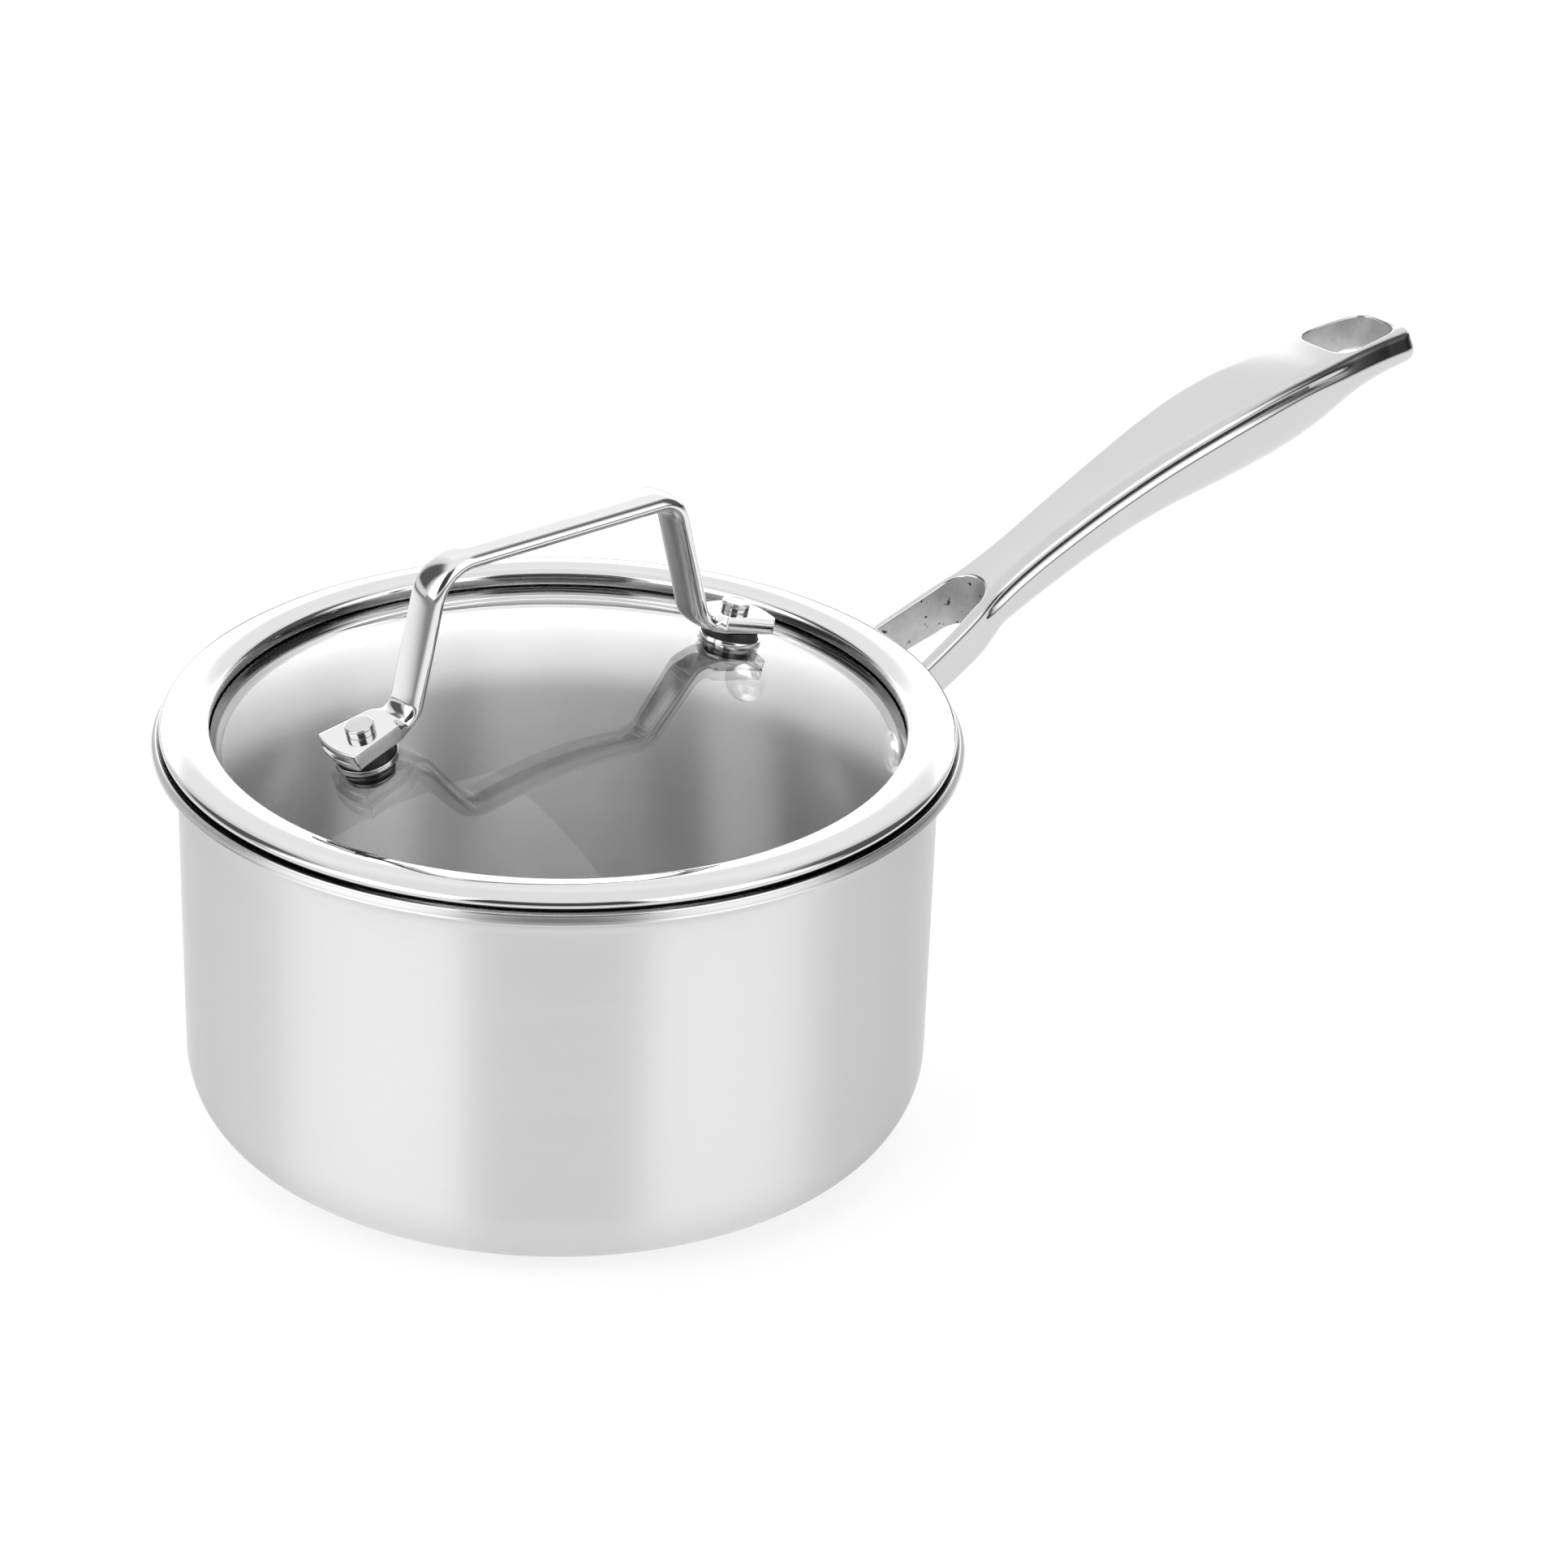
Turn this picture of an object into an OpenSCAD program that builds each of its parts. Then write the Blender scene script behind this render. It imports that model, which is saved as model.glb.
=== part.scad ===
/* [Pot] */
// Outside radius of the pot wall just under the flared rim
wall_r = 82.5; // [76:0.5:90]
// Height at which the wall starts to flare out into the pouring rim
flare_z = 84; // [70:1:110]
// Draft of the wall, in millimetres of radius per millimetre of height
wall_draft = 0.012; // [0:0.002:0.03]
// Outside radius of the corner between base and wall
corner_r = 17.4; // [10:0.2:24]
// Length of the straight lip beyond the flare curve
lip_len = 3.9; // [3:0.1:5]
// Thickness of the magnetic steel outer ply
outer_ply = 0.6; // [0.4:0.05:0.8]
// Thickness of the aluminium core ply
core_ply = 1.2; // [0.8:0.05:1.6]
// Thickness of the stainless cooking-surface ply
inner_ply = 0.5; // [0.3:0.05:0.6]

/* [Pan handle] */
// Width of the gap between the two prongs at their rounded end
fork_gap = 12.4; // [10:0.2:13]
// Distance from the pot axis to the centre of the gap's rounded end
fork_x = 118.6; // [116:0.2:121]
// Length of the hanging hole
hang_len = 21.8; // [16:0.2:22]
// Width of the hanging hole
hang_w = 14.6; // [10:0.2:15]
// Depth of the groove that runs along each side
groove = 1.3; // [0.5:0.1:1.6]
// Thickness of the riveted foot plate
plate_t = 2.6; // [2:0.1:3.5]
// Height of the riveted foot plate
plate_h = 18; // [16:0.5:20]

/* [Handle rivets] */
// Angle of each rivet from the handle's centre line, seen from above
rivet_a = 17.9; // [17:0.1:20]
// Height of the rivets above the base
rivet_z = 70.8; // [68:0.2:73]
// Diameter of a rivet shank
rivet_d = 5; // [4:0.1:6]
// Diameter of the domed head inside the pot
rivet_head_d = 10.4; // [9:0.1:12]

/* [Glass lid] */
// Outside radius of the glass dome's curvature
dome_r = 206; // [200:1:214]
// Thickness of the tempered glass
glass_t = 4; // [3:0.1:4.5]
// Radius of the glass disc
glass_r = 77.4; // [76.6:0.1:77.6]
// Diameter of the two holes drilled in the glass
glass_hole_d = 8; // [7.6:0.1:9]

/* [Lid handle] */
// Width of the flat bar
bar_w = 9.6; // [8:0.1:11]
// Thickness of the flat bar
bar_t = 3.8; // [3:0.1:4.4]
// Height of the bar's top face above the pot's base
bar_top = 141.1; // [136:0.5:150]
// Radius of the stack of studs and washers from the pot axis, measured on the glass
stud_r = 48.8; // [46:0.2:50]
// Turn of the lid, seen from above, from the line of the pan handle
lid_turn = -2.5; // [-10:0.5:10]
// How far the lid handle sits off the lid's centre, negative towards the front foot
lid_off = -2; // [-2.5:0.1:2.5]
// Width of the fanned-out foot at its toe
toe_w = 14; // [9.6:0.2:15]
// Diameter of the barrel nut's head that shows on each foot
nut_d = 6.4; // [6:0.1:8]

/* [Hidden] */

steel = [0.78, 0.78, 0.79];
bright = [0.88, 0.88, 0.89];
black = [0.16, 0.16, 0.17];

// ---------- pot wall: one path, offset inwards by d ----------
draft_a = atan(wall_draft);
flare_r0 = 3.85;                       // bend radius on the outside of the flare
flare_end = 62.2;                      // angle of the lip from vertical
flare_c = [wall_r + flare_r0 * cos(draft_a), flare_z];
wall_top = [flare_c[0] - flare_r0 * cos(draft_a), flare_c[1] + flare_r0 * sin(draft_a)];
corner_z = corner_r - corner_r * sin(draft_a);
base_r = wall_top[0] - (wall_top[1] - corner_z) * tan(draft_a) - corner_r * cos(draft_a);

function pot_path(d) = concat(
    [[0, d], [base_r, d]],
    [for (i = [1:12]) let (a = -90 + i * (90 - draft_a) / 12)
        [base_r + (corner_r - d) * cos(a), corner_r + (corner_r - d) * sin(a)]],
    [for (i = [0:10]) let (a = draft_a + i * (flare_end - draft_a) / 10)
        flare_c + (flare_r0 + d) * [-cos(a), sin(a)]],
    [flare_c + (flare_r0 + d) * [-cos(flare_end), sin(flare_end)]
        + lip_len * [sin(flare_end), cos(flare_end)]]);

function flip(p) = [for (i = [len(p) - 1 : -1 : 0]) p[i]];

// A hole through the wall at each rivet
module rivet_line(side, r, x0, x1)
    rotate([0, 0, side * rivet_a]) translate([x0, 0, rivet_z])
        rotate([0, 90, 0]) cylinder(r = r, h = x1 - x0, $fn = 48);

module ply(d0, d1)
    difference() {
        rotate_extrude($fn = 180) polygon(concat(pot_path(d0), flip(pot_path(d1))));
        for (s = [-1, 1]) rivet_line(s, rivet_d / 2 + 0.05, 74, 90);
    }

module pot_outer_ply() color(steel) ply(0, outer_ply);
module pot_core_ply() color([0.82, 0.83, 0.85]) ply(outer_ply, outer_ply + core_ply);
module pot_inner_ply() color([0.74, 0.74, 0.75])
    ply(outer_ply + core_ply, outer_ply + core_ply + inner_ply);

// ---------- pan handle ----------
// Stations along the handle: distance from the pot axis, height of the side groove,
// depth of the casting below it, half width
ST = [[82.8, 75.0, 10.0, 14.2], [88, 76.9, 10.0, 13.5], [94, 79.1, 10.0, 12.7],
      [100, 81.3, 10.0, 11.9], [106, 83.5, 10.2, 11.2], [112, 85.8, 10.4, 10.4],
      [118, 88.2, 10.8, 9.5], [123, 90.3, 11.2, 8.6], [128, 92.4, 11.6, 8.0],
      [134, 94.8, 12.0, 7.7], [140, 97.2, 12.3, 7.7], [148, 100.4, 12.6, 8.1],
      [156, 103.4, 12.9, 8.5], [164, 106.2, 13.3, 9.0], [172, 108.9, 14.0, 9.6],
      [180, 111.4, 14.9, 10.3], [188, 113.6, 15.9, 11.0], [196, 115.6, 16.8, 11.5],
      [204, 117.2, 17.3, 11.7], [212, 118.5, 17.4, 11.6], [218, 119.2, 17.0, 11.4],
      [224, 119.8, 16.0, 11.2], [230, 120.2, 14.3, 11.0], [236, 120.8, 12.0, 10.8],
      [241, 121.2, 10.3, 10.6], [246, 121.5, 9.3, 10.4], [251, 121.65, 8.7, 10.15],
      [255, 121.7, 8.4, 10.0], [257.5, 121.7, 8.25, 9.8], [259, 121.7, 8.15, 9.25],
      [260, 121.7, 8.1, 8.1], [260.6, 121.7, 8.0, 6.3], [260.9, 121.7, 8.0, 3.6]];
crown = 1.2;                           // how far the top face stands above the groove line
waist_x = 123;                         // the prongs end here

function lower(p, k, dz) = p[1] - k * p[2] + dz;
// Outline in plan, pulled in by e along the grip and by ef along the prongs
function plan(e, ef) = concat(
    [for (p = ST) [p[0] - (p[0] > 250 ? e * (p[0] - 250) / 12 : 0),
                   max(0.6, p[3] - (p[0] < waist_x ? ef : e))]],
    [for (i = [len(ST) - 1 : -1 : 0]) let (p = ST[i])
        [p[0] - (p[0] > 250 ? e * (p[0] - 250) / 12 : 0),
         -max(0.6, p[3] - (p[0] < waist_x ? ef : e))]]);

// One layer of the casting between two heights below the top line
module layer(k0, z0, k1, z1, e, ef)
    intersection() {
        translate([0, 30, 0]) rotate([90, 0, 0]) linear_extrude(60)
            polygon(concat([for (p = ST) [p[0], lower(p, k0, z0)]],
                           [for (i = [len(ST) - 1 : -1 : 0]) [ST[i][0], lower(ST[i], k1, z1)]]));
        translate([0, 0, 40]) linear_extrude(100) polygon(plan(e, ef));
    }

// Plan of the open gap between the prongs
module fork_cut()
    translate([0, 0, 50]) linear_extrude(60) union() {
        polygon([[70, 12.4], [82.8, 11.3], [92, 10.1], [100, 9.1], [110, 7.7], [fork_x, fork_gap / 2],
                 [fork_x, -fork_gap / 2], [110, -7.7], [100, -9.1], [92, -10.1], [82.8, -11.3], [70, -12.4]]);
        translate([fork_x, 0]) circle(r = fork_gap / 2, $fn = 64);
    }

// Rounded, slightly tapered outline of the hanging hole
function sgn_pow(v, n) = sign(v) * pow(abs(v), n);
module hang_cut()
    translate([245.7, 0, 100]) linear_extrude(40)
        polygon([for (i = [0:47]) let (a = i * 7.5, u = sgn_pow(cos(a), 0.5), v = sgn_pow(sin(a), 0.5))
            [u * hang_len / 2, v * (hang_w / 2) * (1 - 0.12 * u)]]);

// Curved plate that lies against the pot wall, with rounded ends
module foot_plate()
    intersection() {
        translate([60, 0, rivet_z]) rotate([90, 0, 90]) linear_extrude(40) union() {
            square([48, plate_h], center = true);
            for (s = [-1, 1]) translate([s * 24, 0]) circle(r = plate_h / 2, $fn = 72);
        }
        difference() {
            translate([0, 0, 50]) cylinder(r = wall_r + 0.05 + plate_t, h = 40, $fn = 180);
            translate([0, 0, 40]) cylinder(r = wall_r + 0.05, h = 60, $fn = 180);
        }
    }

module pan_handle() color(bright)
    difference() {
        union() {
            difference() {
                union() {
                    layer(0, crown, 0, 0.6, 3.2, 0.5);
                    layer(0, 0.6, 0, -0.2, 1.2, 0.2);
                    layer(0, -0.2, 0, -1.3, 0, 0);
                    layer(0, -1.3, 0, -2.1, groove, 0.15);
                    layer(0, -2.1, 0.5, 0, 0.25, 0);
                    layer(0.5, 0, 0.78, 0, 1.2, 0.2);
                    layer(0.78, 0, 0.92, 0, 2.6, 0.5);
                    layer(0.92, 0, 1, 0, 4.4, 0.9);
                }
                fork_cut();
                hang_cut();
                translate([0, 0, 40]) cylinder(r = wall_r + 1, h = 60, $fn = 180);
            }
            foot_plate();
        }
        for (s = [-1, 1]) rivet_line(s, rivet_d / 2 + 0.05, 74, 94);
    }

// ---------- rivets: domed head inside, flat upset head on the plate ----------
head_x = 79.78;                        // inner wall surface along the rivet's axis
tail_x = wall_r + 0.05 + plate_t + 0.03;
module rivet(side) color(steel)
    rotate([0, 0, side * rivet_a]) translate([0, 0, rivet_z]) rotate([0, 90, 0]) {
        translate([0, 0, head_x - 0.1]) cylinder(r = rivet_d / 2, h = tail_x - head_x + 0.2, $fn = 48);
        intersection() {
            translate([0, 0, head_x - 2.6]) cylinder(r = rivet_head_d / 2, h = 2.6, $fn = 64);
            translate([0, 0, head_x + 4.6]) sphere(r = 7.2, $fn = 96);
        }
        translate([0, 0, tail_x]) cylinder(r = 3.9, h = 1.4, $fn = 48);
    }
module handle_rivet_left() rivet(1);
module handle_rivet_right() rivet(-1);

// ---------- glass lid ----------
dome_z = 91.1 - sqrt(dome_r * dome_r - 75.4 * 75.4);   // height of the dome's centre
// Tilt of each stack, square to the glass; side +1 is towards the pan handle
function stack_a(side) = asin((stud_r + side * lid_off) / dome_r);

// Puts a stack's own axis along +Z from the dome's centre
module on_stack(side) rotate([0, 0, lid_turn]) translate([0, 0, dome_z])
    rotate([0, side * stack_a(side), 0]) children();
module ring(ro, ri, h) difference() {
    cylinder(r = ro, h = h, $fn = 64);
    translate([0, 0, -1]) cylinder(r = ri, h = h + 2, $fn = 64);
}

module lid_glass() color([0.80, 0.88, 0.88, 0.35])
    difference() {
        intersection() {
            translate([0, 0, dome_z]) sphere(r = dome_r, $fn = 240);
            translate([0, 0, 70]) cylinder(r = glass_r, h = 60, $fn = 180);
        }
        translate([0, 0, dome_z]) sphere(r = dome_r - glass_t, $fn = 240);
        for (s = [-1, 1]) on_stack(s) translate([0, 0, dome_r - 14])
            cylinder(r = glass_hole_d / 2, h = 24, $fn = 64);
    }

// Rolled steel band: raised rim on top, skirt into the pot mouth, hook under the glass edge
module lid_rim_band() color(bright)
    rotate_extrude($fn = 180) polygon([
        [75.4, 91.35], [75.4, 93.3], [75.75, 94.0], [76.7, 94.5], [78.5, 94.9], [80.5, 95.05],
        [82.5, 94.85], [84.5, 94.25], [85.6, 93.7], [86.1, 93.1], [86.2, 92.6], [86.0, 92.1],
        [85.4, 91.5], [84.0, 90.35], [81.8, 88.6], [80.2, 87.0], [79.4, 86.0], [79.2, 85.2],
        [79.05, 84.75], [78.5, 84.5], [76.5, 84.5], [76.1, 84.9], [76.2, 85.3], [77.9, 85.4],
        [78.3, 85.7], [78.4, 86.4], [79.5, 87.8], [81.2, 89.3], [84.4, 91.9], [84.7, 92.4],
        [84.2, 93.1], [82.5, 93.85], [80.5, 94.05], [78.5, 93.9], [77.0, 93.6], [76.35, 93.1],
        [76.3, 91.35]]);

// ---------- lid handle: one bent flat bar ----------
gasket_h = 3.1;                         // cup washer and gasket together
foot_s = dome_r + gasket_h + bar_t / 2; // middle of the foot along the stack
leg_dir = [0.238, -0.971];
// Points of the centre line on one side, with distances counted outwards from the middle
function foot_c(side) = [foot_s * sin(stack_a(side)), dome_z + foot_s * cos(stack_a(side))];
function shoulder(side) = [31.35 + side * lid_off, bar_top - bar_t / 2];
function heel(side) =
    let (f = foot_c(side), h = shoulder(side), m = tan(stack_a(side)))
    h + (f[1] - h[1] + (f[0] - h[0]) * m) / (leg_dir[1] + leg_dir[0] * m) * leg_dir;
function toe(side) = foot_c(side) + 7.6 * [cos(stack_a(side)), -sin(stack_a(side))];

// The two sides of a bend at corner b between a and c; k = +1 or -1 picks the side
function unit(v) = v / norm(v);
function bend(a, b, c, r, k) =
    let (u = unit(b - a), w = unit(c - b), turn = u[0] * w[1] - u[1] * w[0],
         s = sign(turn), ang = acos(u * w), tl = r * tan(ang / 2),
         p = b - tl * u, n = s * [-u[1], u[0]], o = p + r * n, rr = r - k * s * bar_t / 2)
    [for (i = [0:8]) let (f = i / 8 * ang * s)
        o - rr * [n[0] * cos(f) - n[1] * sin(f), n[0] * sin(f) + n[1] * cos(f)]];
function side_line(k, side) =
    let (h = shoulder(side), e = heel(side), t = toe(side), d = unit(t - e), n = [-d[1], d[0]])
    concat(bend([0, h[1]], h, e, side < 0 ? 9.5 : 6.6, k), bend(h, e, t, 5.6, k), [t + k * n * bar_t / 2]);
// The whole outline: over the top from left to right, then back underneath
function to_left(p) = [for (v = p) [-v[0], v[1]]];
function bar_outline() = concat(flip(to_left(side_line(1, -1))), side_line(1, 1),
                                flip(side_line(-1, 1)), to_left(side_line(-1, -1)));
// Edge of the bar in plan: straight legs, then a foot that fans out to a bowed toe
fan = (toe_w - bar_w) / 2;
function toe_x(side) = 57.9 + side * lid_off;
function half_plan(side) = concat(
    [[toe_x(side) - 17.4, -bar_w / 2], [toe_x(side) - 14, -bar_w / 2 - 0.35 * fan]],
    [for (y = [-1:0.25:1]) [toe_x(side) - 1.5 * y * y - (abs(y) > 0.9 ? 0.5 : 0), y * toe_w / 2]],
    [[toe_x(side) - 14, bar_w / 2 + 0.35 * fan], [toe_x(side) - 17.4, bar_w / 2]]);

module lid_handle() color(bright)
    difference() {
        rotate([0, 0, lid_turn]) intersection() {
            translate([0, 8, 0]) rotate([90, 0, 0]) linear_extrude(16) polygon(bar_outline());
            translate([0, 0, 90]) linear_extrude(60)
                polygon(concat(half_plan(1), to_left(flip(half_plan(-1)))));
        }
        for (s = [-1, 1]) on_stack(s) translate([0, 0, dome_r]) cylinder(r = 2.55, h = 14, $fn = 48);
    }

// ---------- fixings of the lid handle, from top to bottom ----------
module barrel_nut(side) color(bright) on_stack(side)
    difference() {
        union() {
            translate([0, 0, foot_s + bar_t / 2 + 0.02]) cylinder(r = nut_d / 2, h = 1.6, $fn = 64);
            translate([0, 0, foot_s + bar_t / 2 + 1.62]) cylinder(r1 = nut_d / 2, r2 = nut_d / 2 - 0.4, h = 0.4, $fn = 64);
            translate([0, 0, dome_r - 4.6]) cylinder(r = 2.5, h = foot_s + bar_t / 2 + 1 - dome_r + 4.6, $fn = 48);
        }
        translate([0, 0, dome_r - 6]) cylinder(r = 1.6, h = 14.2, $fn = 48);
    }
module cup_washer(side) color(bright) on_stack(side)
    difference() {
        translate([0, 0, dome_r + 0.03]) cylinder(r1 = 7.1, r2 = 6.85, h = 1.15, $fn = 64);
        translate([0, 0, dome_r + 0.55]) cylinder(r = 6.45, h = 3, $fn = 64);
        translate([0, 0, dome_r - 2]) cylinder(r = 2.6, h = 6, $fn = 48);
    }
module upper_gasket(side) color(black) on_stack(side)
    difference() {
        translate([0, 0, dome_r + 0.57]) cylinder(r1 = 6.4, r2 = 5.9, h = gasket_h - 0.6, $fn = 64);
        translate([0, 0, dome_r - 2]) cylinder(r = 2.6, h = 10, $fn = 48);
    }
module lower_gasket(side) color(black) on_stack(side)
    difference() {
        union() {
            translate([0, 0, dome_r - glass_t - 1.5]) cylinder(r = 5.4, h = 1.35, $fn = 64);
            translate([0, 0, dome_r - glass_t - 0.3]) cylinder(r = 3.85, h = glass_t + 0.2, $fn = 64);
        }
        translate([0, 0, dome_r - 10]) cylinder(r = 2.6, h = 12, $fn = 48);
    }
module backing_washer(side) color(steel) on_stack(side)
    translate([0, 0, dome_r - glass_t - 2.55]) ring(5.1, 1.7, 1);
module screw(side) color(steel) on_stack(side) {
    translate([0, 0, dome_r - glass_t - 2.8]) cylinder(r = 1.5, h = 14.2, $fn = 48);
    difference() {
        intersection() {
            translate([0, 0, dome_r - glass_t - 4.6]) cylinder(r = 3.4, h = 2, $fn = 64);
            translate([0, 0, dome_r - glass_t + 0.1]) sphere(r = 4.7, $fn = 96);
        }
        // cross recess
        for (a = [0, 90]) rotate([0, 0, a]) translate([-1.6, -0.35, dome_r - glass_t - 6]) cube([3.2, 0.7, 2.5]);
    }
}
module lid_barrel_nut_front() barrel_nut(-1);
module lid_barrel_nut_back() barrel_nut(1);
module lid_cup_washer_front() cup_washer(-1);
module lid_cup_washer_back() cup_washer(1);
module lid_upper_gasket_front() upper_gasket(-1);
module lid_upper_gasket_back() upper_gasket(1);
module lid_lower_gasket_front() lower_gasket(-1);
module lid_lower_gasket_back() lower_gasket(1);
module lid_backing_washer_front() backing_washer(-1);
module lid_backing_washer_back() backing_washer(1);
module lid_screw_front() screw(-1);
module lid_screw_back() screw(1);

pot_outer_ply();
pot_core_ply();
pot_inner_ply();
pan_handle();
handle_rivet_left();
handle_rivet_right();
lid_glass();
lid_rim_band();
lid_handle();
lid_barrel_nut_front();
lid_barrel_nut_back();
lid_cup_washer_front();
lid_cup_washer_back();
lid_upper_gasket_front();
lid_upper_gasket_back();
lid_lower_gasket_front();
lid_lower_gasket_back();
lid_backing_washer_front();
lid_backing_washer_back();
lid_screw_front();
lid_screw_back();
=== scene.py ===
import math
import bpy
import bmesh
from mathutils import Matrix, Vector


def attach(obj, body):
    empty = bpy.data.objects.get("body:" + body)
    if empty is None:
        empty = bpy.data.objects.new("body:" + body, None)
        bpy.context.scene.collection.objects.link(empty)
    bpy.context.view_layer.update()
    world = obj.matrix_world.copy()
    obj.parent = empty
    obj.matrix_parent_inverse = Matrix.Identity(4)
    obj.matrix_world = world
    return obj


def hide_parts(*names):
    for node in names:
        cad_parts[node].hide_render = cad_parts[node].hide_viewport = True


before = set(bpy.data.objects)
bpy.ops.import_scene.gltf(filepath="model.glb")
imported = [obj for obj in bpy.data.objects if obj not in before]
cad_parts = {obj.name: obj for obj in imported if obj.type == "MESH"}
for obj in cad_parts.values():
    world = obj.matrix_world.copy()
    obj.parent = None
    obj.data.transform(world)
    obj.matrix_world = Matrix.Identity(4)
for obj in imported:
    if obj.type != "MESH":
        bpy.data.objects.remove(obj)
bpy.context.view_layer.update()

MM = 0.001
scene = bpy.context.scene

# ------------------------------------------------------------------ camera
CAM_AZ = math.radians(-40.0)          # the grip lies 40 degrees behind the picture plane


def make_camera():
    e, yaw, tip, roll = (math.radians(v) for v in (29.441, 2.223, 0.747, 0.535))
    dist = 1.3
    target = Vector((0, 0, 0.060))
    eye = target + Vector((0, -dist * math.cos(e), dist * math.sin(e)))
    eye.z = dist * math.sin(e)
    fwd = (target - eye).normalized()
    right = fwd.cross(Vector((0, 0, 1))).normalized()
    up = right.cross(fwd)
    fwd2 = fwd * math.cos(yaw) + right * math.sin(yaw)
    right2 = right * math.cos(yaw) - fwd * math.sin(yaw)
    fwd3 = fwd2 * math.cos(tip) + up * math.sin(tip)
    up3 = up * math.cos(tip) - fwd2 * math.sin(tip)
    right4 = right2 * math.cos(roll) + up3 * math.sin(roll)
    up4 = up3 * math.cos(roll) - right2 * math.sin(roll)
    turn = Matrix.Rotation(CAM_AZ, 3, "Z")
    right4, up4, fwd3, eye = turn @ right4, turn @ up4, turn @ fwd3, turn @ eye
    cam = bpy.data.cameras.new("camera")
    cam.sensor_width = 36
    cam.lens = 7155.4 / 1932 * 36
    cam.clip_start, cam.clip_end = 0.05, 50
    ob = bpy.data.objects.new("camera", cam)
    scene.collection.objects.link(ob)
    m = Matrix((right4, up4, -fwd3)).transposed().to_4x4()
    m.translation = eye
    ob.matrix_world = m
    scene.camera = ob
    return ob


make_camera()
scene.view_settings.view_transform = "Standard"
scene.view_settings.look = "None"
scene.view_settings.exposure = 0.0
scene.view_settings.gamma = 1.0


# ------------------------------------------------------------------ node helper
class Net:
    def __init__(self, tree):
        self.t = tree

    def put(self, sock, value):
        if isinstance(value, bpy.types.NodeSocket):
            self.t.links.new(value, sock)
        else:
            sock.default_value = value

    def node(self, kind, **props):
        n = self.t.nodes.new(kind)
        for k, v in props.items():
            setattr(n, k, v)
        return n

    def math(self, op, a, b=None, c=None, clamp=False):
        n = self.node("ShaderNodeMath", operation=op, use_clamp=clamp)
        for i, v in enumerate((a, b, c)):
            if v is not None:
                self.put(n.inputs[i], v)
        return n.outputs[0]

    def vmath(self, op, a, b=None, scale=None):
        n = self.node("ShaderNodeVectorMath", operation=op)
        self.put(n.inputs[0], a)
        if b is not None:
            self.put(n.inputs[1], b)
        if scale is not None:
            self.put(n.inputs["Scale"], scale)
        return n.outputs["Value"] if op in ("DOT_PRODUCT", "LENGTH") else n.outputs[0]

    def step(self, x, a, b, lo=0.0, hi=1.0):
        """smooth step: lo at a, hi at b"""
        n = self.node("ShaderNodeMapRange", interpolation_type="SMOOTHSTEP", clamp=True)
        if a > b:
            a, b, lo, hi = b, a, hi, lo
        for i, v in enumerate((x, a, b, lo, hi)):
            self.put(n.inputs[i], v)
        return n.outputs[0]

    def noise(self, vec, scale, detail=2.0, rough=0.5, dims="3D"):
        n = self.node("ShaderNodeTexNoise", noise_dimensions=dims)
        self.put(n.inputs["Vector"], vec)
        n.inputs["Scale"].default_value = scale
        n.inputs["Detail"].default_value = detail
        n.inputs["Roughness"].default_value = rough
        return n.outputs[0]

    def lerp(self, f, a, b):
        n = self.node("ShaderNodeMapRange", clamp=True)
        for i, v in enumerate((f, 0.0, 1.0, a, b)):
            self.put(n.inputs[i], v)
        return n.outputs[0]

    def grey(self, v):
        n = self.node("ShaderNodeCombineColor")
        for i in range(3):
            self.put(n.inputs[i], v)
        return n.outputs[0]


def window(g, x, a, b, soft):
    """1 between a and b, 0 outside, with soft edges"""
    return g.math("MULTIPLY", g.step(x, a - soft, a + soft), g.step(x, b + soft, b - soft))


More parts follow.
